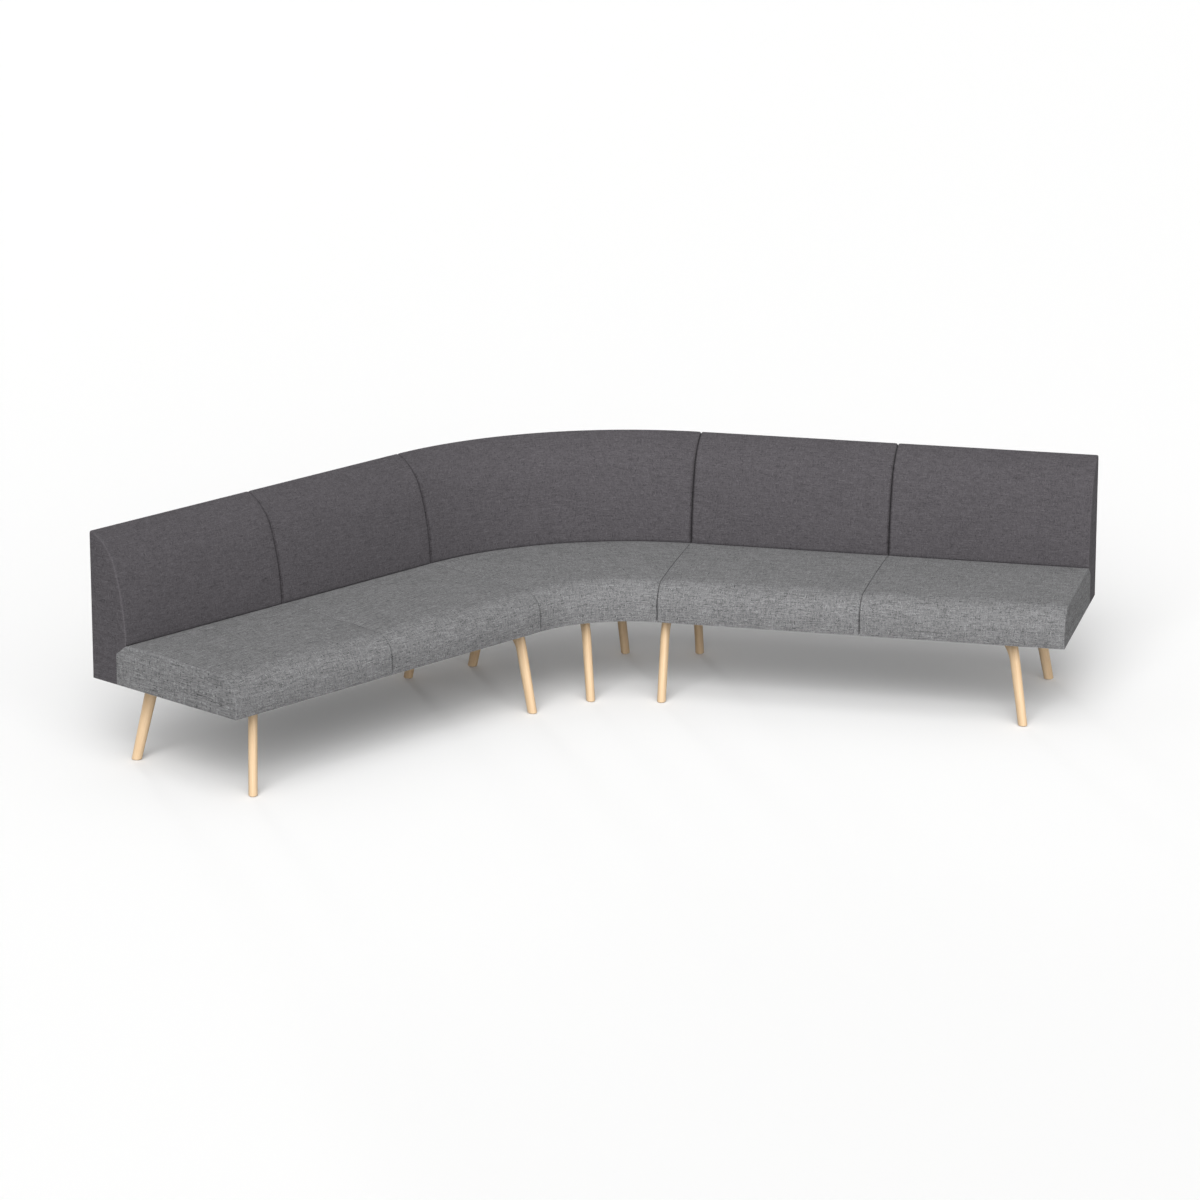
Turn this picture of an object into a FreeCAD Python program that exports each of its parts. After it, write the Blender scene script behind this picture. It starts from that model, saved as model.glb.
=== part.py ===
import FreeCAD, Part
import math
import os
from types import SimpleNamespace

import Sketcher

# Corner sofa: two straight wings and a curved corner module on splayed wooden legs.
# Lengths are in millimetres and angles in degrees.
# +Z is up, the seats face -Y, and the origin is on the floor, below the middle of the outline.

DRIVING_SIZES = {
    # Plan of the sofa
    "section_width": 700,
    "seam_gap": 1,
    "corner_turn": 60,
    "corner_radius": 410,
    # Seat, measured from its front edge
    "underside_height": 293,
    "seat_height": 434,
    "seat_depth": 525,
    "seat_front_drop": 8,
    "seat_front_round": 75,
    "seat_crown_slope": 3,
    # Back, measured from its rear face
    "total_height": 795,
    "back_depth": 168,
    "back_foot_depth": 119,
    "back_tuck_drop": 37,
    "back_lower_radius": 830,
    "back_upper_radius": 180,
    "back_top_slope": 20,
    "back_top_round": 10,
    "pad_clearance": 0.5,
    # Covers, boards and dust cloth
    "cover_thickness": 3,
    "seam_round": 8,
    "base_board_thickness": 18,
    "back_board_thickness": 15,
    "back_board_drop": 45,
    "dust_cloth_thickness": 1.5,
    "dust_cloth_margin": 12,
    # Legs and their places
    "leg_foot_width": 30,
    "leg_foot_oval": 4.5,
    "leg_head_width": 31,
    "leg_head_oval": 13.5,
    "leg_foot_chamfer": 2,
    "leg_lean": 12.2,
    "leg_knee_height": 80,
    "leg_knee_reach": 75,
    "front_leg_inset": 95,
    "rear_leg_inset": 120,
    "left_end_leg_inset": 160,
    "right_end_leg_inset": 188,
    "end_leg_splay": 46,
    "joint_leg_offset": 10,
    "corner_front_leg_inset": 109,
    "corner_rear_leg_inset": 174,
    "corner_rear_leg_spread": 238,
    "corner_leg_splay": 42,
    "glide_diameter": 23,
    "glide_thickness": 2,
    # Leg plates and screws
    "plate_length": 126,
    "plate_width": 90,
    "joint_plate_width": 130,
    "plate_thickness": 5,
    "stud_diameter": 10,
    "stud_length": 48,
    "stud_clearance": 0.2,
    "screw_shank_diameter": 5,
    "screw_head_diameter": 9,
    "screw_head_height": 2.5,
    "leg_screw_length": 18,
    "plate_screw_margin": 12,
    # Brackets between the base boards and the back boards
    "bracket_arm": 60,
    "bracket_width": 50,
    "bracket_thickness": 4,
    "bracket_screw_length": 15,
    "bracket_screw_margin": 14,
}

SECTION_WORDS = ("inner", "outer")
SIDES = {"left": -1, "right": 1}
BRACKETS_PER_SECTION = 2
CORNER_BRACKETS = 3
KNEE_STEPS = 4
KNEE_POWER = 2
# The rounding of a section's ends stays this much smaller than the back's top rounding.
ROUND_LIMIT = 0.9
PLATE_CORNERS = ((1, 1), (1, -1), (-1, 1), (-1, -1))
TINY = 1e-4


class Measure:
    """A size that holds its formula on the sheet and its number."""

    def __init__(self, formula, number):
        self.formula = formula
        self.number = number

    def joined(self, sign, other, number):
        return Measure(f"({self.formula} {sign} {other.formula})", number)

    def __add__(self, other):
        other = measure(other)
        return self.joined("+", other, self.number + other.number)

    def __sub__(self, other):
        other = measure(other)
        return self.joined("-", other, self.number - other.number)

    def __mul__(self, other):
        other = measure(other)
        return self.joined("*", other, self.number * other.number)

    def __truediv__(self, other):
        other = measure(other)
        return self.joined("/", other, self.number / other.number)

    def __rsub__(self, other):
        return measure(other) - self

    def __neg__(self):
        return measure(0) - self


def measure(value):
    return value if isinstance(value, Measure) else Measure(str(value), value)


def sine(angle):
    return Measure(f"sin({angle.formula})", math.sin(math.radians(angle.number)))


def cosine(angle):
    return Measure(f"cos({angle.formula})", math.cos(math.radians(angle.number)))


def tangent(angle):
    return Measure(f"tan({angle.formula})", math.tan(math.radians(angle.number)))


def arc_sine(ratio):
    return Measure(f"(asin({ratio.formula}) / 1 deg)", math.degrees(math.asin(ratio.number)))


def arc_cosine(ratio):
    return Measure(f"(acos({ratio.formula}) / 1 deg)", math.degrees(math.acos(ratio.number)))


def arc_tangent(rise, run):
    angle = math.degrees(math.atan2(rise.number, run.number))
    return Measure(f"(atan2({rise.formula}; {run.formula}) / 1 deg)", angle)


def length_of(across, up):
    formula = f"sqrt({across.formula} ^ 2 + {up.formula} ^ 2)"
    return Measure(formula, math.hypot(across.number, up.number))


def smaller(one, other):
    return Measure(f"min({one.formula}; {other.formula})", min(one.number, other.number))


# The document and its sheet of driving sizes

doc = FreeCAD.newDocument("corner_sofa")
sheet = doc.addObject("Spreadsheet::Sheet", "Sizes")
size = SimpleNamespace()
for row, (word, number) in enumerate(DRIVING_SIZES.items(), start=1):
    sheet.set(f"A{row}", word)
    sheet.set(f"B{row}", str(number))
    sheet.setAlias(f"B{row}", word)
    setattr(size, word, Measure(f"Sizes.{word}", number))
doc.recompute()

# Sizes that follow from the driving ones

skin = size.cover_thickness
end_round = smaller(size.seam_round, size.back_top_round * ROUND_LIMIT)
inner_round = end_round - skin
half_turn = size.corner_turn / 2
wing_length = size.section_width * len(SECTION_WORDS)
section_length = size.section_width - size.seam_gap
depth = size.seat_depth + size.back_depth
seat_rear = depth - size.back_foot_depth
tuck_height = size.seat_height - size.back_tuck_drop
seat_front_height = size.seat_height - size.seat_front_drop
board_bottom = size.underside_height + size.plate_thickness
board_top = board_bottom + size.base_board_thickness
back_board_rear = depth - skin
back_board_front = back_board_rear - size.back_board_thickness
back_board_top = size.total_height - size.back_board_drop

# The outline's front-most points are the rounded outer corners of the two outer seats.

outline_rear = size.corner_radius + depth
outline_front = (
    (size.corner_radius + end_round) * cosine(half_turn)
    - (wing_length - end_round) * sine(half_turn)
    - end_round
)
outline_middle = (outline_rear + outline_front) / 2

nodes = {}


def keep(label, thing):
    thing.Label = label
    nodes[label] = thing


def place(thing, across=0, back=0, up=0, turn=0, axis=(0, 0, 1)):
    vector = "create(<<vector>>; {}; {}; {})"
    base = vector.format(*(measure(value).formula for value in (across, back, up)))
    rotation = f"create(<<rotation>>; {vector.format(*axis)}; {measure(turn).formula})"
    thing.setExpression("Placement", f"create(<<placement>>; {base}; {rotation})")


def group(name, members):
    together = doc.addObject("Part::Compound", name)
    together.Links = members
    return together


def copy_of(master, name, *spot, **tilt):
    copy = group(name, [master])
    place(copy, *spot, **tilt)
    return copy


def fuse(name, base, tool):
    whole = doc.addObject("Part::Fuse", name)
    whole.Base = base
    whole.Tool = tool
    return whole


def cut(name, base, *tools):
    for tool in tools:
        rest = doc.addObject("Part::Cut", name)
        rest.Base = base
        rest.Tool = tool
        base = rest
    return base


# Outlines in the plane of depth and height, drawn anticlockwise.
# A corner is its distance behind the seat front, its height and, before an arc, the arc's radius.

def bulge_point(here, there, radius):
    chord = there - here
    sagitta = radius - math.sqrt(radius**2 - (chord.Length / 2) ** 2)
    outward = FreeCAD.Vector(chord.y, -chord.x, 0).normalize()
    return (here + there) / 2 + outward * sagitta


def drive(sketch, constraint, target):
    index = sketch.addConstraint(constraint)
    sketch.setExpression(f"Constraints[{index}]", target.formula)


def draw_outline(body, corners, offset):
    sketch = body.newObject("Sketcher::SketchObject", f"{body.Name}_outline")
    plane = [item for item in body.Origin.OriginFeatures if item.Role == "YZ_Plane"][0]
    sketch.AttachmentSupport = (plane, [""])
    sketch.MapMode = "FlatFace"
    sketch.setExpression("AttachmentOffset.Base.z", measure(offset).formula)
    spots = [(size.corner_radius + corner[0], measure(corner[1])) for corner in corners]
    points = [FreeCAD.Vector(out.number, up.number, 0) for out, up in spots]
    for index, corner in enumerate(corners):
        here = points[index]
        there = points[(index + 1) % len(points)]
        if len(corner) == 2:
            sketch.addGeometry(Part.LineSegment(here, there), False)
        else:
            middle = bulge_point(here, there, corner[2].number)
            sketch.addGeometry(Part.Arc(here, middle, there), False)
    for index, corner in enumerate(corners):
        out, up = spots[index]
        following = (index + 1) % len(corners)
        sketch.addConstraint(Sketcher.Constraint("Coincident", index, 2, following, 1))
        drive(sketch, Sketcher.Constraint("DistanceX", -1, 1, index, 1, out.number), out)
        drive(sketch, Sketcher.Constraint("DistanceY", -1, 1, index, 1, up.number), up)
        if len(corner) == 3:
            drive(sketch, Sketcher.Constraint("Radius", index, corner[2].number), corner[2])
    return sketch


def padded_body(name, corners, offset, length):
    body = doc.addObject("PartDesign::Body", name)
    sketch = draw_outline(body, corners, offset)
    pad = body.newObject("PartDesign::Pad", f"{name}_pad")
    pad.Profile = sketch
    pad.setExpression("Length", measure(length).formula)
    return body


def turned_body(name, corners, turn):
    """An outline turned about the corner's centre, half of it each side of the middle."""
    body = doc.addObject("PartDesign::Body", name)
    sketch = draw_outline(body, corners, 0)
    sweep = body.newObject("PartDesign::Revolution", f"{name}_turn")
    sweep.Profile = sketch
    sweep.ReferenceAxis = (sketch, ["V_Axis"])
    sweep.Midplane = True
    sweep.setExpression("Angle", measure(turn).formula)
    return body


def wing_piece(name, side, corners, start, end):
    """A length of outline along a wing: start and end are measured from its joint."""
    offset = start if side > 0 else -end
    body = padded_body(name, corners, offset, end - start)
    place(body, 0, -outline_middle, 0, half_turn * -side)
    return body


def corner_piece(name, corners, turn):
    body = turned_body(name, corners, turn)
    place(body, 0, -outline_middle)
    return body


def round_edges(body, chosen, radius):
    solid = body.Tip
    solid.recompute(True)
    names = [f"Edge{number}" for number, edge in enumerate(solid.Shape.Edges, start=1) if chosen(edge)]
    fillet = body.newObject("PartDesign::Fillet", f"{body.Name}_rounding")
    fillet.Base = (solid, names)
    fillet.setExpression("Radius", radius.formula)


def shows(heights, outs):
    """False for an edge that is level underneath, or where the seat is tucked under the back."""
    level_below = max(heights) < board_top.number + TINY and max(heights) - min(heights) < TINY
    tuck = (size.corner_radius + seat_rear).number
    reach = (skin + size.pad_clearance).number + TINY
    return not level_below and all(abs(out - tuck) > reach for out in outs)


def wing_end_edges(side, *ends):
    """Chooses the edges that show round a wing piece's end faces."""
    def chosen(edge):
        points = [vertex.Point for vertex in edge.Vertexes]
        at_end = any(all(abs(point.x - side * end.number) < TINY for point in points) for end in ends)
        return at_end and shows([point.z for point in points], [point.y for point in points])
    return chosen


def corner_end_edges(turn):
    """Chooses the edges that show round a corner piece's end faces."""
    def chosen(edge):
        points = [vertex.Point for vertex in edge.Vertexes]
        angles = [math.degrees(math.atan2(point.x, point.y)) for point in points]
        ends = (-turn.number / 2, turn.number / 2)
        at_end = any(all(abs(angle - end) < TINY for angle in angles) for end in ends)
        outs = [math.hypot(point.x, point.y) for point in points]
        return at_end and shows([point.z for point in points], outs)
    return chosen


# Outlines of the upholstery and of the boards.
# The arcs of one outline touch smoothly, and an inset moves the whole outline inwards.

def on_arc(centre, radius, slope):
    """The point of an arc where it rises towards the rear by the slope: 0 is level, 90 upright."""
    return centre[0] - radius * sine(slope), centre[1] + radius * cosine(slope)


def seat_outline(bottom, inset):
    front = size.seat_front_round
    front_centre = (front, seat_front_height - front)
    crest = on_arc(front_centre, front, size.seat_crown_slope)
    run = size.seat_depth - crest[0]
    rear_slope = size.seat_crown_slope - arc_tangent(size.seat_height - crest[1], run) * 2
    crown = run / (sine(size.seat_crown_slope) + sine(rear_slope))
    crown_centre = on_arc(crest, -crown, size.seat_crown_slope)
    return [
        (inset, bottom),
        (seat_rear - inset, bottom),
        (seat_rear - inset, tuck_height - inset),
        (*on_arc(crown_centre, crown - inset, -rear_slope), crown - inset),
        (*on_arc(front_centre, front - inset, size.seat_crown_slope), front - inset),
        (inset, front_centre[1]),
    ]


def back_outline(bottom, inset):
    gap = size.pad_clearance
    top, upper, lower = size.back_top_round, size.back_upper_radius, size.back_lower_radius
    foot = (size.seat_depth + gap, size.seat_height)
    top_centre = (depth - top, size.total_height - top)
    upper_centre = on_arc(top_centre, top - upper, size.back_top_slope)
    forward = upper_centre[0] - foot[0]
    rise = foot[1] - upper_centre[1]
    reach = length_of(forward, rise)
    spread = lower - upper
    bend = arc_cosine((spread * spread + reach * reach - lower * lower) / (spread * reach * 2))
    middle_slope = arc_tangent(forward, rise) + bend - 180
    lower_centre = on_arc(upper_centre, upper - lower, middle_slope)
    foot_slope = arc_tangent(lower_centre[0] - foot[0], foot[1] - lower_centre[1])
    return [
        (seat_rear + gap + inset, bottom),
        (depth - inset, bottom),
        (depth - inset, top_centre[1], top - inset),
        (*on_arc(top_centre, top - inset, size.back_top_slope), upper - inset),
        (*on_arc(upper_centre, upper - inset, middle_slope), lower - inset),
        on_arc(lower_centre, lower - inset, foot_slope),
        (seat_rear + gap + inset, tuck_height + inset),
    ]


def flat_outline(front, rear, bottom, top):
    return [(front, bottom), (rear, bottom), (rear, top), (front, top)]


def base_outline(bottom):
    return flat_outline(skin, depth - skin, bottom, board_top)


def back_board_outline():
    return flat_outline(back_board_front, back_board_rear, board_top, back_board_top)


def dust_outline():
    margin = skin + size.dust_cloth_margin
    return flat_outline(margin, depth - margin, board_bottom - size.dust_cloth_thickness, board_bottom)


def bracket_outline():
    arm_end = back_board_front - size.bracket_arm
    inner_face = back_board_front - size.bracket_thickness
    return [
        (arm_end, board_top),
        (back_board_front, board_top),
        (back_board_front, board_top + size.bracket_arm),
        (inner_face, board_top + size.bracket_arm),
        (inner_face, board_top + size.bracket_thickness),
        (arm_end, board_top + size.bracket_thickness),
    ]


# Screws: a flush head at the origin and a shank that points up

def make_screw(name, length):
    head = doc.addObject("Part::Cone", f"{name}_head")
    head.setExpression("Radius1", (size.screw_head_diameter / 2).formula)
    head.setExpression("Radius2", (size.screw_shank_diameter / 2).formula)
    head.setExpression("Height", size.screw_head_height.formula)
    shank = doc.addObject("Part::Cylinder", f"{name}_shank")
    shank.setExpression("Radius", (size.screw_shank_diameter / 2).formula)
    shank.setExpression("Height", (length - size.screw_head_height).formula)
    place(shank, 0, 0, size.screw_head_height)
    return fuse(name, head, shank)


# A leg in its own frame: its head is above the origin and its foot leans towards +X.

def leg_axis(height):
    return (size.underside_height - height) * tangent(size.leg_lean)


def leg_widening(share, knee):
    """How much deeper the leg is than at its foot, all of it on the side away from the lean."""
    foot_depth = size.leg_foot_width + size.leg_foot_oval
    head_depth = size.leg_head_width + size.leg_head_oval
    return (head_depth - foot_depth) * share + knee


def leg_section(name, height, knee=0, trim=0):
    """A level oval through the leg, whose leading edge is straight from foot to head."""
    share = (height - size.glide_thickness) / (size.underside_height - size.glide_thickness)
    width = size.leg_foot_width + (size.leg_head_width - size.leg_foot_width) * share
    widening = leg_widening(share, knee)
    ring = doc.addObject("Part::Ellipse", name)
    deep = size.leg_foot_width + size.leg_foot_oval + widening
    ring.setExpression("MajorRadius", (deep / 2 - trim).formula)
    ring.setExpression("MinorRadius", (width / 2 - trim).formula)
    place(ring, leg_axis(height) - widening / 2, 0, height)
    return ring


def loft(name, sections, ruled):
    solid = doc.addObject("Part::Loft", name)
    solid.Sections = sections
    solid.Solid = True
    solid.Ruled = ruled
    return solid


def stud_bar(name, radius, rise, length):
    """A round bar down the leg's axis that starts by the rise above the leg's head."""
    start = size.underside_height + rise
    bar = doc.addObject("Part::Cylinder", name)
    bar.setExpression("Radius", radius.formula)
    bar.setExpression("Height", length.formula)
    place(bar, leg_axis(start), 0, start, 180 - size.leg_lean, axis=(0, 1, 0))
    return bar


def make_leg():
    foot = size.glide_thickness
    toe_ring = leg_section("leg_toe", foot, trim=size.leg_foot_chamfer)
    foot_ring = leg_section("leg_foot", foot + size.leg_foot_chamfer)
    knee_start = size.underside_height - size.leg_knee_height
    knee_rings = []
    for step in range(KNEE_STEPS + 1):
        share = step / KNEE_STEPS
        height = knee_start + size.leg_knee_height * share
        knee = size.leg_knee_reach * share**KNEE_POWER
        knee_rings.append(leg_section(f"leg_knee_ring{step}", height, knee))
    shaft = loft("leg_shaft", [toe_ring, foot_ring, knee_rings[0]], ruled=True)
    knee = loft("leg_knee", knee_rings, ruled=False)
    bore_radius = size.stud_diameter / 2 + size.stud_clearance
    bore = stud_bar("leg_bore", bore_radius, size.plate_thickness, size.stud_length + size.plate_thickness)
    return cut("leg", fuse("leg_blank", shaft, knee), bore)


def make_glide():
    disc = doc.addObject("Part::Cylinder", "glide")
    disc.setExpression("Radius", (size.glide_diameter / 2).formula)
    disc.setExpression("Height", size.glide_thickness.formula)
    place(disc, leg_axis(size.glide_thickness))
    return disc


def plate_middle():
    """The plates are centred over the leg's head."""
    return -leg_widening(measure(1), size.leg_knee_reach) / 2


def plate_screws(name, screw, width):
    along = size.plate_length / 2 - size.plate_screw_margin
    across = width / 2 - size.plate_screw_margin
    screws = []
    for number, (ahead, aside) in enumerate(PLATE_CORNERS):
        spot = (plate_middle() + along * ahead, across * aside, size.underside_height)
        screws.append(copy_of(screw, f"{name}{number}", *spot))
    return group(name, screws)


def leg_plate(name, width, screws):
    """A steel plate, long in the direction of the lean, with the stud that holds the leg."""
    flat = doc.addObject("Part::Box", f"{name}_flat")
    flat.setExpression("Length", size.plate_length.formula)
    flat.setExpression("Width", width.formula)
    flat.setExpression("Height", size.plate_thickness.formula)
    place(flat, plate_middle() - size.plate_length / 2, -width / 2, size.underside_height)
    stud = stud_bar(f"{name}_stud", size.stud_diameter / 2, size.plate_thickness / 2, size.stud_length)
    return cut(name, fuse(f"{name}_blank", flat, stud), screws)


# Where the legs stand: node name, place, direction of the lean and whether a joint is above

def on_wing(side, along, out):
    """A point on a wing: its distances along from the joint and out from the corner's centre."""
    across = (along * cosine(half_turn) + out * sine(half_turn)) * side
    back = out * cosine(half_turn) - along * sine(half_turn) - outline_middle
    return across, back


def leg_stands():
    stands = []
    front = size.corner_radius + size.front_leg_inset
    rear = outline_rear - size.rear_leg_inset
    inner = size.joint_leg_offset
    end_insets = {"left": size.left_end_leg_inset, "right": size.right_end_leg_inset}
    for word, side in SIDES.items():
        outer = wing_length - end_insets[word]
        forward = half_turn * -side - 90
        backward = half_turn * -side + 90
        splay = size.end_leg_splay * side
        stands.append((f"{word}_front_outer_leg", *on_wing(side, outer, front), forward + splay, False))
        stands.append((f"{word}_rear_outer_leg", *on_wing(side, outer, rear), backward - splay, False))
        stands.append((f"{word}_front_inner_leg", *on_wing(side, inner, front), forward, True))
        stands.append((f"{word}_rear_inner_leg", *on_wing(side, inner, rear), backward, True))
        spread = size.corner_rear_leg_spread * side
        corner_rear = outline_rear - size.corner_rear_leg_inset - outline_middle
        corner_lean = 90 - size.corner_leg_splay * side
        stands.append((f"corner_rear_{word}_leg", spread, corner_rear, corner_lean, False))
    corner_front = size.corner_radius + size.corner_front_leg_inset - outline_middle
    stands.append(("corner_front_leg", 0, corner_front, -90, False))
    return stands


def build_legs():
    leg = make_leg()
    glide = make_glide()
    screw = make_screw("leg_screw", size.leg_screw_length)
    plate_set = plate_screws("plate_screw_set", screw, size.plate_width)
    joint_set = plate_screws("joint_screw_set", screw, size.joint_plate_width)
    plate = leg_plate("leg_plate", size.plate_width, plate_set)
    joint_plate = leg_plate("joint_plate", size.joint_plate_width, joint_set)
    plates, joint_plates, screws, glides = [], [], [], []
    for label, across, back, lean, at_joint in leg_stands():
        spot = (across, back, 0, lean)
        keep(label, copy_of(leg, label, *spot))
        glides.append(copy_of(glide, f"{label}_glide", *spot))
        if at_joint:
            joint_plates.append(copy_of(joint_plate, f"{label}_plate", *spot))
            screws.append(copy_of(joint_set, f"{label}_screws", *spot))
        else:
            plates.append(copy_of(plate, f"{label}_plate", *spot))
            screws.append(copy_of(plate_set, f"{label}_screws", *spot))
    keep("foot_glides", group("foot_glides", glides))
    keep("leg_plates", group("leg_plates", plates))
    keep("joint_plates", group("joint_plates", joint_plates))
    keep("leg_screws", group("leg_screws", screws))


# Angle brackets and their screws, about the middle of one bracket

def bracket_screw_set():
    screw = make_screw("bracket_screw", size.bracket_screw_length)
    across = size.bracket_width / 2 - size.bracket_screw_margin
    arm_reach = size.bracket_arm - size.bracket_screw_margin
    board_face = size.corner_radius + back_board_front
    screws = []
    for number, hand in enumerate((-1, 1)):
        low_spot = (across * hand, board_face - arm_reach, board_top + size.bracket_thickness, 180)
        high_spot = (across * hand, board_face - size.bracket_thickness, board_top + arm_reach, -90)
        screws.append(copy_of(screw, f"low_bracket_screw{number}", *low_spot, axis=(1, 0, 0)))
        screws.append(copy_of(screw, f"high_bracket_screw{number}", *high_spot, axis=(1, 0, 0)))
    return group("bracket_screw_set", screws)


def build_brackets():
    screw_set = bracket_screw_set()
    width = size.bracket_width
    bend = arc_sine(width / 2 / (size.corner_radius + back_board_front)) * 2
    flat = cut("flat_bracket", padded_body("flat_blank", bracket_outline(), -width / 2, width), screw_set)
    bent = cut("bent_bracket", turned_body("bent_blank", bracket_outline(), bend), screw_set)
    brackets, screws = [], []
    for word, side in SIDES.items():
        for number in range(len(SECTION_WORDS) * BRACKETS_PER_SECTION):
            along = size.section_width * ((number + 0.5) / BRACKETS_PER_SECTION)
            spot = (*on_wing(side, along, measure(0)), 0, half_turn * -side)
            brackets.append(copy_of(flat, f"{word}_bracket{number}", *spot))
            screws.append(copy_of(screw_set, f"{word}_bracket_screws{number}", *spot))
    for number in range(CORNER_BRACKETS):
        turn = size.corner_turn * ((number + 0.5) / CORNER_BRACKETS - 0.5)
        spot = (0, -outline_middle, 0, turn)
        brackets.append(copy_of(bent, f"corner_bracket{number}", *spot))
        screws.append(copy_of(screw_set, f"corner_bracket_screws{number}", *spot))
    keep("back_brackets", group("back_brackets", brackets))
    keep("bracket_screws", group("bracket_screws", screws))


# Upholstery: covers over foam, on a base board and in front of a back board

def upholster(label, pieces, base_space, back_board):
    seat, seat_foam, back, back_foam = pieces
    keep(f"{label}_seat_cover", cut(f"{label}_seat_cover", seat, seat_foam, base_space))
    keep(f"{label}_seat_foam", seat_foam)
    keep(f"{label}_back_cover", cut(f"{label}_back_cover", back, back_foam, base_space, back_board))
    fixings = (nodes["back_brackets"], nodes["bracket_screws"])
    keep(f"{label}_back_foam", cut(f"{label}_back_foam", back_foam, back_board, *fixings))


def finish_boards(label, base_board, back_board, dust_cloth):
    base = cut(f"{label}_base_board", base_board, nodes["leg_screws"], nodes["bracket_screws"])
    keep(f"{label}_base_board", base)
    keep(f"{label}_back_board", cut(f"{label}_back_board", back_board, nodes["bracket_screws"]))
    plates = (nodes["leg_plates"], nodes["joint_plates"], nodes["leg_screws"])
    keep(f"{label}_dust_cover", cut(f"{label}_dust_cover", dust_cloth, *plates))


def build_wing(word, side):
    joint = size.seam_gap
    end = wing_length - skin
    margin = size.dust_cloth_margin
    space = wing_piece(f"{word}_base_space", side, base_outline(0), measure(0), end)
    base = wing_piece(f"{word}_base_blank", side, base_outline(board_bottom), joint, end)
    for board in (space, base):
        round_edges(board, wing_end_edges(side, end), inner_round)
    back_board = wing_piece(f"{word}_back_blank", side, back_board_outline(), joint + skin, end)
    dust = wing_piece(f"{word}_dust_blank", side, dust_outline(), joint + margin, end - margin)
    for number, section in enumerate(SECTION_WORDS):
        label = f"{word}_{section}"
        start = size.section_width * number + joint
        pieces = []
        for outline, inset, rounding in upholstery_layers():
            limits = (start + inset, start + section_length - inset)
            piece = wing_piece(f"{label}_layer{len(pieces)}", side, outline, *limits)
            round_edges(piece, wing_end_edges(side, *limits), rounding)
            pieces.append(piece)
        upholster(label, pieces, space, back_board)
    finish_boards(word, base, back_board, dust)


def upholstery_layers():
    """Outline, inset and rounding of the seat, its foam, the back and its foam."""
    flush = measure(0)
    return [
        (seat_outline(size.underside_height, flush), flush, end_round),
        (seat_outline(board_top, skin), skin, inner_round),
        (back_outline(size.underside_height, flush), flush, end_round),
        (back_outline(board_top, skin), skin, inner_round),
    ]


def build_corner():
    turn = size.corner_turn
    dust_turn = turn - arc_sine(size.dust_cloth_margin / size.corner_radius) * 2
    back_turn = turn - arc_sine(skin / size.corner_radius) * 2
    space = corner_piece("corner_base_space", base_outline(0), turn * 2)
    base = corner_piece("corner_base_blank", base_outline(board_bottom), turn)
    back_board = corner_piece("corner_back_blank", back_board_outline(), back_turn)
    dust = corner_piece("corner_dust_blank", dust_outline(), dust_turn)
    pieces = []
    for outline, inset, rounding in upholstery_layers():
        piece_turn = turn - arc_sine(inset / size.corner_radius) * 2
        piece = corner_piece(f"corner_layer{len(pieces)}", outline, piece_turn)
        round_edges(piece, corner_end_edges(piece_turn), rounding)
        pieces.append(piece)
    upholster("corner", pieces, space, back_board)
    finish_boards("corner", base, back_board, dust)


def check_model():
    doc.recompute()
    failed = [thing.Name for thing in doc.Objects if {"Invalid", "Error"} & set(thing.State)]
    for label, thing in nodes.items():
        if thing.Shape.isNull() or not thing.Shape.isValid() or not thing.Shape.Solids:
            failed.append(label)
    if failed:
        raise RuntimeError(f"these pieces failed: {failed}")


def write_parts():
    os.makedirs("parts", exist_ok=True)
    for label, thing in nodes.items():
        thing.Shape.exportStep(f"parts/{label}.step")
        volume = thing.Shape.Volume / 1e6
        print(f"{label}: {len(thing.Shape.Solids)} solids, {volume:.3f} litres")


build_legs()
build_brackets()
for word, side in SIDES.items():
    build_wing(word, side)
build_corner()
check_model()
write_parts()
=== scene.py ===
# %% [markdown]
# # A corner sofa
# This lesson dresses a corner sofa: two straight wings and a curved corner between them, with flecked
# mid-grey seats, dark grey backs and pale wooden legs. The legs, boards, fittings and dust cloths come
# ready made with the frame and only get their finishes here. The upholstery is modelled in this file.

# %% Load the frame
import math
from collections import namedtuple

import bmesh
import bpy
from mathutils import Matrix, Vector


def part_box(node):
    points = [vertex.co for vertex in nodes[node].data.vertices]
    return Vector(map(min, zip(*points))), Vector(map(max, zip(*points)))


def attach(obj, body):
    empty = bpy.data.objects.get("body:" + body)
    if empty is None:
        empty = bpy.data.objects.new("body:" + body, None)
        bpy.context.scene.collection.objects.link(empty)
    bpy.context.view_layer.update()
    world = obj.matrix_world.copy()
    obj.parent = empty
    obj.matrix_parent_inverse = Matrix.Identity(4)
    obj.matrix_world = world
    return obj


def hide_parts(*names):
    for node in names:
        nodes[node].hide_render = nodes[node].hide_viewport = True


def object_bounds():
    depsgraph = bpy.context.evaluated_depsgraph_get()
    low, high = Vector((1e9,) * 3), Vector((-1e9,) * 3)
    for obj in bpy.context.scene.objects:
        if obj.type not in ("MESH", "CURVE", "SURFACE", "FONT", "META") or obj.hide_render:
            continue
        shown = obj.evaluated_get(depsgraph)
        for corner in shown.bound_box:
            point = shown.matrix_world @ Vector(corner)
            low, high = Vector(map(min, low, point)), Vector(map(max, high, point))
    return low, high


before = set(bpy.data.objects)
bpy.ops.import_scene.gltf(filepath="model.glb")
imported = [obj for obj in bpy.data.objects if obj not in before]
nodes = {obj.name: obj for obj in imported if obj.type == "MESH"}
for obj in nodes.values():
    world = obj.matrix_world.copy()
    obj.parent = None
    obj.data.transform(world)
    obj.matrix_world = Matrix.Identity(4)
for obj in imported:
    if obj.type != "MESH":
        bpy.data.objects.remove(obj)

cad_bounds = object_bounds()
scene = bpy.context.scene
cad_corners = [tuple(round(value, 3) for value in corner) for corner in cad_bounds]
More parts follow.
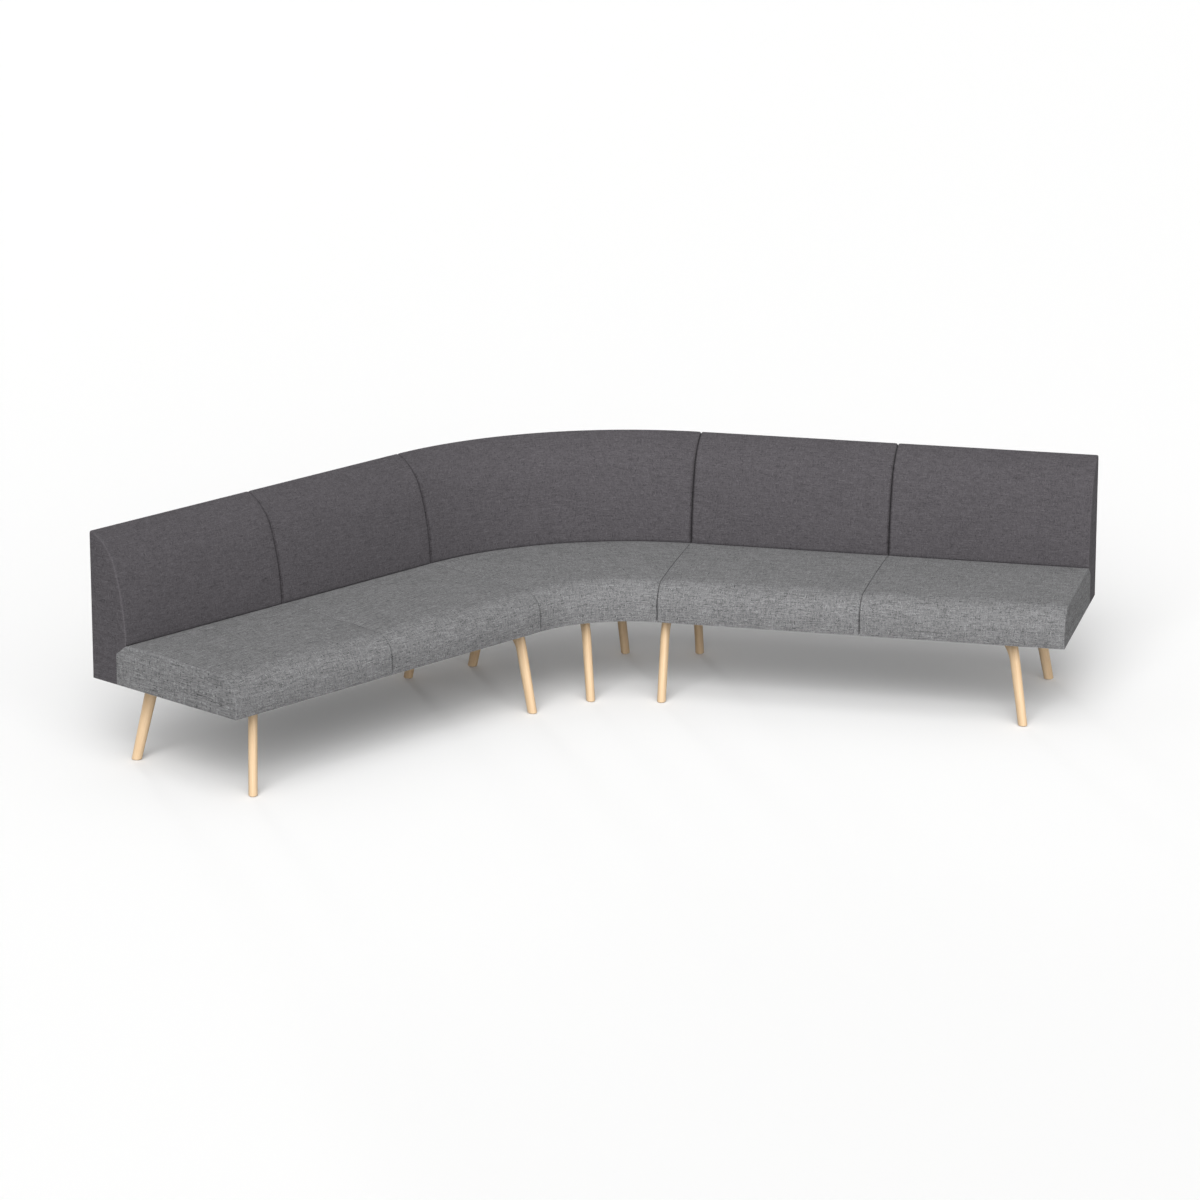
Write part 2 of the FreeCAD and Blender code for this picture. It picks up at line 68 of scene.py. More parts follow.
print("loaded", len(nodes), "nodes, box", cad_corners)

# %% [markdown]
# ## Camera
# The camera stands far off and looks slightly down, with a long lens, so that the sofa is drawn with
# little perspective. Its place is given in the sofa's own frame: metres, Z up, the seats facing -Y.
# Heading and dip are in degrees, the sensor and the lens in millimetres.

# %% Place the camera
CAMERA_SPOT = (-4.886, -16.630, 5.323)
CAMERA_HEADING = 16.408
CAMERA_DIP = 15.913
SENSOR_WIDTH = 36
LENS = 159.23
CLIP_END = 200

camera_data = bpy.data.cameras.new("camera")
camera_data.sensor_width = SENSOR_WIDTH
camera_data.lens = LENS
camera_data.clip_end = CLIP_END
camera = bpy.data.objects.new("camera", camera_data)
camera.location = CAMERA_SPOT
camera.rotation_euler = (math.radians(90 - CAMERA_DIP), 0, math.radians(-CAMERA_HEADING))
scene.collection.objects.link(camera)
scene.camera = camera
print("camera at", CAMERA_SPOT, "with a lens of", LENS, "mm")

# %% [markdown]
# ## Sizes of the upholstery
# The pads are drawn about the corner's centre: `out` is the distance from that centre, `up` the height
# over the floor. A few lengths set the two outlines, and the heights are read from the frame, so the
# pads sit exactly where the solids are that they replace.

# %% Name the sizes
CORNER_RADIUS = 0.410
HALF_TURN = math.radians(30)
SECTION_WIDTH = 0.700
SEAM_GAP = 0.001
SEAT_HEIGHT = 0.434
SEAT_DEPTH = 0.525
SEAT_FRONT_DROP = 0.008
SEAT_FRONT_ROUND = 0.075
SEAT_CROWN_SLOPE = math.radians(3)
BACK_DEPTH = 0.168
BACK_FOOT_DEPTH = 0.119
BACK_TUCK_DROP = 0.037
BACK_LOWER_RADIUS = 0.830
BACK_UPPER_RADIUS = 0.180
BACK_TOP_SLOPE = math.radians(20)
BACK_TOP_ROUND = 0.010
PAD_CLEARANCE = 0.0005
COVER_THICKNESS = 0.003

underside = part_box("corner_seat_cover")[0].z
board_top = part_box("corner_base_board")[1].z
total_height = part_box("corner_back_cover")[1].z
depth = SEAT_DEPTH + BACK_DEPTH
seat_rear = depth - BACK_FOOT_DEPTH
tuck_height = SEAT_HEIGHT - BACK_TUCK_DROP
corner_centre_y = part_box("corner_back_cover")[1].y - CORNER_RADIUS - depth
print(f"underside {underside:.3f}, board top {board_top:.3f}, back top {total_height:.3f} m")

# %% [markdown]
# ## Drawing an outline
# An outline is a ring of edges in the upright plane through the corner's centre. A vertex is extruded
# along straight stretches and turned about a centre for arcs, which gives true arcs from few numbers.
# Each vertex remembers its number in the ring and its way along it, for the caps and for the weave.
# Layers for what the swelling and the sewing need later are made here as well.


# %% Outline helper
WEAVE_MAP = "weave"


class Outline:
    """A ring of edges, drawn anticlockwise as seen from +X."""

    def __init__(self, out, up):
        self.mesh = bmesh.new()
        self.number = self.mesh.verts.layers.int.new("number")
        self.station = self.mesh.verts.layers.int.new("station")
        self.way = self.mesh.verts.layers.float.new("way")
        self.give = self.mesh.verts.layers.float.new("give")
        # This layer holds the seams' painted shade and painted highlight.
        self.mesh.verts.layers.float.new("painted_seam_light")
        self.mesh.edges.layers.float.new("crease_edge")
        self.panel = self.mesh.faces.layers.int.new("panel")
        self.weave = self.mesh.loops.layers.uv.new(WEAVE_MAP)
        self.points = [self.mesh.verts.new((0, CORNER_RADIUS + out, up))]

    def extend(self):
        made = bmesh.ops.extrude_vert_indiv(self.mesh, verts=[self.points[-1]])
        self.points += made["verts"]
        return made["verts"]

    def line(self, out, up, steps):
        stride = (Vector((0, CORNER_RADIUS + out, up)) - self.points[-1].co) / steps
        for _ in range(steps):
            bmesh.ops.translate(self.mesh, verts=self.extend(), vec=stride)

    def arc(self, centre, angle, steps):
        turn = Matrix.Rotation(angle / steps, 3, "X")
        middle = (0, CORNER_RADIUS + centre[0], centre[1])
        for _ in range(steps):
            bmesh.ops.rotate(self.mesh, verts=self.extend(), cent=middle, matrix=turn)

    def close(self):
        """Joins the last point to the first and measures the way round."""
        way = 0
        for number, point in enumerate(self.points[:-1]):
            point[self.number] = number
            point[self.way] = way
            way += (self.points[number + 1].co - point.co).length
        self.length = way
        self.count = len(self.points) - 1
        bmesh.ops.weld_verts(self.mesh, targetmap={self.points[-1]: self.points[0]})


def on_arc(centre, radius, slope):
    """The point of an arc where it rises towards the rear by the slope."""
    return centre[0] - radius * math.sin(slope), centre[1] + radius * math.cos(slope)


# %% [markdown]
# ## Seat outline
# The seat's top is one long, flat arc. It runs into the rounded front without a break, and the front
# drops straight to the underside. At the rear the seat is tucked under the foot of the back.
# The steps are counted so that opposite sides match: 22 below and above, 7 in front and behind.

# %% Draw the seat
SEAT_BOTTOM_STEPS = 22
SEAT_REAR_STEPS = (4, 3)
SEAT_CROWN_STEPS = 18
SEAT_ROUND_STEPS = (4, 4)
SEAT_FRONT_STEPS = 3


def seat_outline():
    front_centre = (SEAT_FRONT_ROUND, SEAT_HEIGHT - SEAT_FRONT_DROP - SEAT_FRONT_ROUND)
    crest = on_arc(front_centre, SEAT_FRONT_ROUND, SEAT_CROWN_SLOPE)
    top_depth = SEAT_DEPTH - crest[0]
    rear_slope = SEAT_CROWN_SLOPE - 2 * math.atan2(SEAT_HEIGHT - crest[1], top_depth)
    crown_radius = top_depth / (math.sin(SEAT_CROWN_SLOPE) + math.sin(rear_slope))
    crown_centre = on_arc(crest, -crown_radius, SEAT_CROWN_SLOPE)
    front_turn = math.radians(90) - SEAT_CROWN_SLOPE
    outline = Outline(0, underside)
    outline.line(seat_rear, underside, SEAT_BOTTOM_STEPS)
    outline.line(seat_rear, tuck_height, SEAT_REAR_STEPS[0])
    outline.line(SEAT_DEPTH, SEAT_HEIGHT, SEAT_REAR_STEPS[1])
    outline.arc(crown_centre, SEAT_CROWN_SLOPE + rear_slope, SEAT_CROWN_STEPS)
    outline.arc(front_centre, front_turn, sum(SEAT_ROUND_STEPS))
    outline.line(0, underside, SEAT_FRONT_STEPS)
    outline.close()
    return outline


# %% [markdown]
# ## Back outline
# The back's front is made of two arcs that touch: a long one that leans back gently, and a shorter one
# that curls over to the top edge. The rear is upright. A small round joins the two at the top.

# %% Draw the back
BACK_BOTTOM_STEPS = 6
BACK_TOP_STEPS = 6
BACK_REAR_STEPS = 27
BACK_UPPER_STEPS = 8
BACK_LOWER_STEPS = 11
BACK_TUCK_STEPS = (4, 4)


def back_outline():
    foot = (SEAT_DEPTH + PAD_CLEARANCE, SEAT_HEIGHT)
    top_centre = (depth - BACK_TOP_ROUND, total_height - BACK_TOP_ROUND)
    upper_centre = on_arc(top_centre, BACK_TOP_ROUND - BACK_UPPER_RADIUS, BACK_TOP_SLOPE)
    forward = upper_centre[0] - foot[0]
    rise = foot[1] - upper_centre[1]
    reach = math.hypot(forward, rise)
    spread = BACK_LOWER_RADIUS - BACK_UPPER_RADIUS
    bend = math.acos((spread**2 + reach**2 - BACK_LOWER_RADIUS**2) / (2 * spread * reach))
    middle_slope = math.atan2(forward, rise) + bend - math.pi
    lower_centre = on_arc(upper_centre, BACK_UPPER_RADIUS - BACK_LOWER_RADIUS, middle_slope)
    foot_slope = math.atan2(lower_centre[0] - foot[0], foot[1] - lower_centre[1])
    front = seat_rear + PAD_CLEARANCE
    outline = Outline(front, underside)
    outline.line(depth, underside, BACK_BOTTOM_STEPS)
    outline.line(depth, top_centre[1], BACK_REAR_STEPS)
    outline.arc(top_centre, math.radians(90) + BACK_TOP_SLOPE, BACK_TOP_STEPS)
    outline.arc(upper_centre, middle_slope - BACK_TOP_SLOPE, BACK_UPPER_STEPS)
    outline.arc(lower_centre, foot_slope - middle_slope, BACK_LOWER_STEPS)
    outline.line(front, tuck_height, BACK_TUCK_STEPS[0])
    outline.line(front, underside, BACK_TUCK_STEPS[1])
    outline.close()
    return outline


for name, draw in (("seat", seat_outline), ("back", back_outline)):
    trial = draw()
    print(name, "outline:", trial.count, "points,", round(trial.length, 3), "m round")
    trial.mesh.free()

# %% [markdown]
# ## From outline to pad
# A straight section is the outline extruded along its wing in even steps, and the corner is the same
# outline turned about the corner's centre. Each end is closed with a grid of quads between the bottom
# and the top of the outline. A UV map in metres follows the cloth: along the section and round it.
# A run says how many steps there are, where they start, and how far each of them goes on or turns.

# %% Sweep helper
STRAIGHT_STEPS = 30
CORNER_STEPS = 36
SIDE, START_CAP, END_CAP, HIDDEN = 0, 1, 2, 3
AXIS_POINT = (0, 0, 0)
Run = namedtuple("Run", "steps start stride turn")


def sweep(outline, run):
    """Draws an outline along its run, step by step; a turn goes as far to the left as to the right."""
    mesh = outline.mesh
    first_turn = Matrix.Rotation(-run.steps * run.turn / 2, 3, "Z")
    step_turn = Matrix.Rotation(run.turn, 3, "Z")
    bmesh.ops.translate(mesh, verts=mesh.verts, vec=(run.start, 0, 0))
    bmesh.ops.rotate(mesh, verts=mesh.verts, cent=AXIS_POINT, matrix=first_turn)
    edges = list(mesh.edges)
    for step in range(1, run.steps + 1):
        made = bmesh.ops.extrude_edge_only(mesh, edges=edges)["geom"]
        verts = [item for item in made if isinstance(item, bmesh.types.BMVert)]
        edges = [item for item in made if isinstance(item, bmesh.types.BMEdge) and item.is_boundary]
        bmesh.ops.translate(mesh, verts=verts, vec=(run.stride, 0, 0))
        bmesh.ops.rotate(mesh, verts=verts, cent=AXIS_POINT, matrix=step_turn)
        for vert in verts:
            vert[outline.station] = step


def close_ends(outline, steps, corners):
    """Fills both end rings with quads between the outline's bottom and its top."""
    mesh = outline.mesh
    stretches = (range(0, corners[0]), range(corners[1], corners[2]))
    for cap, station in ((START_CAP, 0), (END_CAP, steps)):
        ring = {vert[outline.number]: vert for vert in mesh.verts if vert[outline.station] == station}
        pairs = [(ring[number], ring[(number + 1) % len(ring)]) for side in stretches for number in side]
        edges = [mesh.edges.get(pair) for pair in pairs]
        made = bmesh.ops.grid_fill(mesh, edges=edges, use_interp_simple=True)
        for face in made["faces"]:
            face[outline.panel] = cap
    bmesh.ops.recalc_face_normals(mesh, faces=mesh.faces)


def out_of(point):
    """How far a point is from the upright axis through the corner's centre."""
    return math.hypot(point.x, point.y)


def lay_weave(outline, curved):
    """Gives every face its place on the cloth, in metres."""
    for face in outline.mesh.faces:
        wraps = outline.count - 1 in {vert[outline.number] for vert in face.verts}
        for loop in face.loops:
            place = loop.vert.co
            if face[outline.panel] in (START_CAP, END_CAP):
                loop[outline.weave].uv = (out_of(place), place.z)
                continue
            along = out_of(place) * math.atan2(place.x, place.y) if curved else place.x
            starts_again = wraps and loop.vert[outline.number] == 0
            round_it = outline.length if starts_again else loop.vert[outline.way]
            loop[outline.weave].uv = (along, round_it)


# %% [markdown]
# ## Swelling
# A sewn cover is pulled in at its seams and stands a little proud between them, because the foam pushes
# it out. Cloth simulation gives that: the pad is blown up gently while its seams and hidden faces are
# pinned. This upholstery is firm and taut, so each point has a most that it may give, in metres, and the
# movement fades towards that. Gravity is left off.

# %% Swelling helper
PRESSURE = 4.0
FIRST_FRAME = 1
LAST_FRAME = 20
PIN_GROUP = "pinned"


def swell(piece):
    """Blows the pad up with its seams pinned; returns how far its points went."""
    gives = [item.value for item in piece.data.attributes["give"].data]
    pins = piece.vertex_groups.new(name=PIN_GROUP)
    pins.add([index for index, give in enumerate(gives) if give == 0], 1.0, "REPLACE")
    cloth = piece.modifiers.new("swelling", "CLOTH")
    cloth.settings.vertex_group_mass = PIN_GROUP
    cloth.settings.use_pressure = True
    cloth.settings.uniform_pressure_force = PRESSURE
    cloth.settings.effector_weights.gravity = 0
    cloth.collision_settings.use_collision = False
    cloth.point_cache.frame_end = LAST_FRAME
    for number in range(FIRST_FRAME, LAST_FRAME + 1):
        scene.frame_set(number)
    swollen = piece.evaluated_get(bpy.context.evaluated_depsgraph_get()).data
    ways = [after.co - before.co for before, after in zip(piece.data.vertices, swollen.vertices)]
    piece.modifiers.remove(cloth)
    piece.vertex_groups.remove(pins)
    for vertex, way, give in zip(piece.data.vertices, ways, gives):
        if give > 0:
            vertex.co += way * give / (give + way.length)
    scene.frame_set(FIRST_FRAME)
    return max(way.length for way in ways)


# %% [markdown]
# ## Room for the boards
# Under each module a plywood board and a dust cloth lie inside the hem of the covers. The pads are closed
# forms, so the room for the boards is cut out of them with a Boolean. It is a little larger than the boards
# and runs on past the joints, twice as far round as the corner does.

# %% Draw the room
WING_LENGTH = 2 * SECTION_WIDTH
ROOM_SLACK = 0.0003
ROOM_FLOOR = 0.1
ROOM_OVERRUN = 0.2
ROOM_CORNER_ROUND = 0.005
ROOM_TURN = 4 * HALF_TURN
ROOM_TURN_STEPS = 48
ROUND_SEGMENTS = 4


def round_edges(mesh, edges, width):
    """Bevels edges to a round and returns what that made."""
    return bmesh.ops.bevel(
        mesh, geom=edges, offset=width, affect="EDGES", segments=ROUND_SEGMENTS, profile=0.5, material=-1
    )


def as_object(name, mesh):
    """Makes an object of a bmesh, and frees the bmesh."""
    data = bpy.data.meshes.new(name)
    mesh.to_mesh(data)
    mesh.free()
    return bpy.data.objects.new(name, data)


def board_room(name, run):
    """A closed rectangle of board and air, drawn along a wing or round the corner."""
    front = COVER_THICKNESS - ROOM_SLACK
    rear = depth - COVER_THICKNESS + ROOM_SLACK
    top = board_top + ROOM_SLACK
    outline = Outline(front, ROOM_FLOOR)
    for out, up in ((rear, ROOM_FLOOR), (rear, top), (front, top), (front, ROOM_FLOOR)):
        outline.line(out, up, 1)
    outline.close()
    sweep(outline, run)
    mesh = outline.mesh
    bmesh.ops.holes_fill(mesh, edges=mesh.edges, sides=outline.count)
    bmesh.ops.recalc_face_normals(mesh, faces=mesh.faces)
    if run.stride:
        far = [edge for edge in mesh.edges if all(vert[outline.station] == run.steps for vert in edge.verts)]
        upright = [edge for edge in far if edge.verts[0].co.z != edge.verts[1].co.z]
        round_edges(mesh, upright, ROOM_CORNER_ROUND)
    return as_object(name, mesh)


room_reach = WING_LENGTH - COVER_THICKNESS + ROOM_SLACK
rooms = {
    "left": board_room("left_room", Run(1, ROOM_OVERRUN, -room_reach - ROOM_OVERRUN, 0)),
    "corner": board_room("corner_room", Run(ROOM_TURN_STEPS, 0, 0, -ROOM_TURN / ROOM_TURN_STEPS)),
    "right": board_room("right_room", Run(1, -ROOM_OVERRUN, room_reach + ROOM_OVERRUN, 0)),
}
print("drew the room for", len(rooms), "boards")

# %% [markdown]
# ## Two kinds of pads
# Seats and backs are made in the same way and differ in a few numbers, so each kind lists its own. A point of
# the outline is known by its number in the ring. `corners` are those of the end panels, `soft` are stretches
# that swell, `hidden` points lie on the board or against another pad, and at `contact` seat and back meet.
# Joints between pads get a painted shade and the sewn edges of the free ends a painted highlight, so each has
# a painted light as well as a round. The foam of the backs rolls into their joints more than that of the
# seats.

# %% List the kinds
seat_side = SEAT_BOTTOM_STEPS + sum(SEAT_REAR_STEPS)
seat_rim = seat_side + SEAT_BOTTOM_STEPS
back_top = BACK_BOTTOM_STEPS + BACK_REAR_STEPS
back_brow = back_top + BACK_TOP_STEPS
back_foot = back_brow + BACK_UPPER_STEPS + BACK_LOWER_STEPS

# In each kind the joint's number is a painted shade in the joint, the free end's a painted highlight on its
# sewn edge.
PAD_KINDS = {
    "seat": {
        "draw": seat_outline,
        "corners": (SEAT_BOTTOM_STEPS, seat_side, seat_rim),
        "soft": [(seat_side, seat_rim + sum(SEAT_REAR_STEPS))],
        "hidden": {*range(seat_side + 1)},
        "contact": seat_side,
        "give": 0.004,
        "joint_round": 0.0022,
        "joint_painted_shade": -0.25,
        "end_round": 0.0035,
        "end_painted_highlight": 0.03,
        "end_groove": 0.0004,
    },
    "back": {
        "draw": back_outline,
        "corners": (BACK_BOTTOM_STEPS, back_top, back_brow),
        "soft": [(BACK_BOTTOM_STEPS, back_top), (back_brow, back_foot)],
        "hidden": {*range(BACK_BOTTOM_STEPS + 1), *range(back_foot, back_foot + sum(BACK_TUCK_STEPS))},
        "contact": back_foot,
        "give": 0.004,
        "joint_round": 0.007,
        "joint_painted_shade": -0.28,
        "end_round": 0.0035,
        "end_painted_highlight": 0.12,
        "end_groove": 0.0009,
    },
}
print("kinds of pads:", *PAD_KINDS)

# %% [markdown]
# ## Sewing
# The cover gives between its seams, but not on them and not where it is hidden. The edges of the end panels
# are bevelled, and on a free end a fine groove runs along the sewn edge. The edges of hidden faces stay sharp
# by a crease, because the cover turns in there tightly. The line where seat and back meet is creased less,
# which leaves a groove. The points of a seam keep a painted light: a painted shade in a joint and a painted
# highlight on a free end's sewn edge. It fades where the seam faces up, where the lamps reach it.

# %% Sewing helpers
END_GIVE = 0.002
HEM_ANGLE = math.radians(15)
HEM_CREASE = 1.0
CONTACT_CREASE = 0.3


def mark_hidden(outline, kind):
    """Marks the faces that lie on the board or against the neighbouring pad."""
    for face in outline.mesh.faces:
        numbers = {vert[outline.number] for vert in face.verts}
        if face[outline.panel] == SIDE and numbers <= kind["hidden"]:
            face[outline.panel] = HIDDEN


def let_give(outline, kind, free_end):
    """Says how far each point may swell: not at all on seams and hidden faces."""
    for vert in outline.mesh.verts:
        panels = {face[outline.panel] for face in vert.link_faces}
        number = vert[outline.number]
        if panels == {SIDE} and any(low < number < high for low, high in kind["soft"]):
            vert[outline.give] = kind["give"]
        elif panels == {END_CAP} and free_end:
            vert[outline.give] = END_GIVE


def sew_end(mesh, cap, width, groove, shade):
    """Rounds the edges of one end panel, sinks a seam line in the round and paints a shade or highlight on
    it.
    """
    panel = mesh.faces.layers.int["panel"]
    painted_seam_light = mesh.verts.layers.float["painted_seam_light"]
    rim = [edge for edge in mesh.edges if {face[panel] for face in edge.link_faces} == {SIDE, cap}]
    made = round_edges(mesh, rim, width)
    sewn = set(made["faces"])
    inner = {vert for vert in made["verts"] if sewn.issuperset(vert.link_faces)}
    # Painted light: shade in a joint, highlight on a free end, fading where the seam faces up to the lamps.
    mesh.normal_update()
    for vert in inner:
        vert[painted_seam_light] = shade * (1 - max(0, vert.normal.z))
    middle = [vert for vert in inner if all(edge.other_vert(vert) in inner for edge in vert.link_edges)]
    for vert in middle:
        vert.co -= vert.normal * groove


def crease_hem(mesh, contact):
    """Keeps the edges of hidden faces sharp, and nearly so along the line where seat and back meet."""
    number = mesh.verts.layers.int["number"]
    panel = mesh.faces.layers.int["panel"]
    crease = mesh.edges.layers.float["crease_edge"]
    for edge in mesh.edges:
        panels = {face[panel] for face in edge.link_faces}
        along_contact = panels == {SIDE, HIDDEN} and all(vert[number] == contact for vert in edge.verts)
        if HIDDEN in panels and edge.calc_face_angle() > HEM_ANGLE:
            edge[crease] = CONTACT_CREASE if along_contact else HEM_CREASE


# %% [markdown]
# ## One pad, from outline to place
# A pad is swept, capped, swollen and sewn. Subdivision then rounds it, the room for its board is cut out, and
# the result becomes the mesh of a new object, with its place in the mesh.

# %% Pad helper
SMOOTH_LEVELS = 2
SHARP_ANGLE = math.radians(40)
MILLIMETRES = 1000


def finish_pad(name, work, room, place):
    """Smooths the pad, cuts the board's room out of it and puts it in its place."""
    smooth = work.modifiers.new("smooth", "SUBSURF")
    smooth.levels = SMOOTH_LEVELS
    smooth.render_levels = SMOOTH_LEVELS
    space = work.modifiers.new("room", "BOOLEAN")
    space.operation = "DIFFERENCE"
    space.solver = "MANIFOLD"
    space.object = room
    depsgraph = bpy.context.evaluated_depsgraph_get()
    data = bpy.data.meshes.new_from_object(work.evaluated_get(depsgraph))
    data.name = name
    data.transform(place)
    data.shade_smooth()
    data.set_sharp_from_angle(angle=SHARP_ANGLE)
    bpy.data.objects.remove(work)
    pad = bpy.data.objects.new(name, data)
    scene.collection.objects.link(pad)
    return pad


def make_pad(name, kind_word, run, room, place, free_end):
    """One upholstered pad of a kind, along a run."""
    kind = PAD_KINDS[kind_word]
    outline = kind["draw"]()
    sweep(outline, run)
    close_ends(outline, run.steps, kind["corners"])
    mark_hidden(outline, kind)
    lay_weave(outline, run.turn != 0)
    let_give(outline, kind, free_end)
    work = as_object(name + "_work", outline.mesh)
    scene.collection.objects.link(work)
    furthest = swell(work)
    mesh = bmesh.new()
    mesh.from_mesh(work.data)
    # Joints get a painted shade, free ends a painted highlight on the sewn edge.
    joint = (kind["joint_round"], 0, kind["joint_painted_shade"])
    end = (kind["end_round"], kind["end_groove"], kind["end_painted_highlight"])
    sew_end(mesh, START_CAP, *joint)
    sew_end(mesh, END_CAP, *(end if free_end else joint))
    crease_hem(mesh, kind["contact"])
    mesh.to_mesh(work.data)
    mesh.free()
    pad = finish_pad(name, work, room, place)
    pushed = furthest * MILLIMETRES
    print(f"{name}: {len(pad.data.polygons)} faces, pushed up to {pushed:.0f} mm before the cap")
    return pad


# %% [markdown]
# ## The ten pads
# Each wing has an inner and an outer section, and the corner is one section between them. All of them are
# made about the corner's centre and then turned into place, the wings by half of the corner's turn.

# %% Make the pads
CORNER_PLACE = Matrix.Translation((0, corner_centre_y, 0))
section_length = SECTION_WIDTH - SEAM_GAP

corner_run = Run(CORNER_STEPS, 0, 0, -2 * HALF_TURN / CORNER_STEPS)
runs = {"corner": ("corner", corner_run, 0, False)}
for wing, way in (("left", -1), ("right", 1)):
    for number, section in enumerate(("inner", "outer")):
        start = way * (SECTION_WIDTH * number + SEAM_GAP)
        run = Run(STRAIGHT_STEPS, start, way * section_length / STRAIGHT_STEPS, 0)
        runs[f"{wing}_{section}"] = (wing, run, -way * HALF_TURN, section == "outer")

for room in rooms.values():
    scene.collection.objects.link(room)

pads = {"seat": [], "back": []}
for label, (module, run, swing, free_end) in runs.items():
    place = CORNER_PLACE @ Matrix.Rotation(swing, 4, "Z")
    for kind_word, made in pads.items():
        pad = make_pad(f"{label}_{kind_word}_pad", kind_word, run, rooms[module], place, free_end)
        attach(pad, "root")
        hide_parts(f"{label}_{kind_word}_cover", f"{label}_{kind_word}_foam")
        made.append(pad)

for room in rooms.values():
    bpy.data.objects.remove(room)

# %% [markdown]
# ## Writing finishes
# All finishes are made of nodes, so they need no pictures and stay sharp from close by. A small class wraps
# an output of a node and overloads the arithmetic signs, so that a pattern reads like a sum. A second one
# holds a material and adds nodes to it.

# %% Finish helper
MIDDLE = 0.5
MIX_SHARE, MIX_DARK, MIX_LIGHT, MIX_COLOUR = 0, 6, 7, 2


class Field:
    """A value that changes over a surface."""

    def __init__(self, finish, socket):
        self.finish = finish
        self.socket = socket

    def maths(self, operation, first, second):
        return self.finish.add("ShaderNodeMath", {"operation": operation}, {0: first, 1: second})

    def __add__(self, other):
        return self.maths("ADD", self, other)

    def __sub__(self, other):
        return self.maths("SUBTRACT", self, other)

    def __rsub__(self, other):
        return self.maths("SUBTRACT", other, self)

    def __mul__(self, other):
        return self.maths("MULTIPLY", self, other)

    def __truediv__(self, other):
        return self.maths("DIVIDE", self, other)

    def __gt__(self, other):
        return self.maths("GREATER_THAN", self, other)

    def __floordiv__(self, other):
        return self.finish.add("ShaderNodeMath", {"operation": "FLOOR"}, {0: self / other})

    __radd__ = __add__
    __rmul__ = __mul__


class Finish:
    """A material or sky under way: nodes are added to it and wired to its surface."""

    def __init__(self, material, surface="Principled BSDF"):
        material.use_nodes = True
        self.material = material
        self.tree = material.node_tree
        self.surface = self.tree.nodes[surface]

    def wire(self, node, inputs):
        for key, value in inputs.items():
            if isinstance(value, Field):
                self.tree.links.new(value.socket, node.inputs[key])
            else:
                node.inputs[key].default_value = value

    def add(self, kind, settings, inputs, output=0):
        node = self.tree.nodes.new(kind)
        for key, value in settings.items():
            setattr(node, key, value)
        self.wire(node, inputs)
        return Field(self, node.outputs[output])

    def parts(self, place):
        """The three numbers of a place."""
        node = self.add("ShaderNodeSeparateXYZ", {}, {0: place}).socket.node
        return [Field(self, socket) for socket in node.outputs]

    def stretch(self, place, sizes):
        """Counts a place in cells of the given sizes."""
        counts = tuple(1 / size for size in sizes)
        return self.add("ShaderNodeVectorMath", {"operation": "MULTIPLY"}, {0: place, 1: counts})

    def noise(self, place, sizes, detail=2.0, roughness=0.5):
        """Soft noise about zero, in cells of the given sizes and finer ones by detail and roughness."""
        cells = self.stretch(place, sizes)
        inputs = {"Vector": cells, "Scale": 1.0, "Detail": detail, "Roughness": roughness}
        return self.add("ShaderNodeTexNoise", {"noise_dimensions": "3D"}, inputs) - MIDDLE

    def tint(self, dark, light, share):
        """A colour between two, by a share that may run past its ends."""
        settings = {"data_type": "RGBA", "clamp_factor": True}
        inputs = {MIX_SHARE: share, MIX_DARK: (*dark, 1), MIX_LIGHT: (*light, 1)}
        return self.add("ShaderNodeMix", settings, inputs, output=MIX_COLOUR)

    def bump(self, height, distance, strength=1.0):
        inputs = {"Height": height, "Distance": distance, "Strength": strength}
        return self.add("ShaderNodeBump", {}, inputs)

    def done(self, **inputs):
        named = {key.replace("_", " "): value for key, value in inputs.items()}
        self.wire(self.surface, named)
        return self.material


def dress(pieces, material):
    """Gives each piece one finish."""
    for piece in pieces:
        if not piece.material_slots:
            piece.data.materials.append(material)
        for holder in piece.material_slots:
            holder.material = material


# %% [markdown]
# ## The two fabrics
# Both covers are woven of mixed yarn: warp runs down the cloth, weft across it, and at each crossing one of
# them is on top, at random, as in a crepe weave. A yarn changes its shade along its length, so short flecks
# lie both ways. On the seats they go from nearly black to light grey, on the backs they stay in charcoal.
# Fine fibres and faint clouds are added by their weights, and the painted shade and highlight of the seams as
# stored on the pads. The pattern reads the pads' own UV map, in metres, so that it follows the cloth round
# them.

# %% Weave the fabrics
YARN_SHIFT = 7.37
WEFT_START = 400
WEFT_STRETCH = 1.5
WARP_SHARE = 0.42
YARN_CELL = (1, 1, 1)
YARN_DETAIL = 3.0
YARN_ROUGHNESS = 0.85
YARN_RELIEF = 0.0012
YARN_GLOSS = 0.1
FIBRE_CELL = (0.0006, 0.0006, 1)
FIBRE_WEIGHT = 0.25
FIBRE_RELIEF = 0.1
CLOUD_CELL = (0.2, 0.2, 1)
CLOUD_DETAIL = 3.0
CLOUD_WEIGHT = 0.1
CLOTH_ROUGHNESS = 0.92


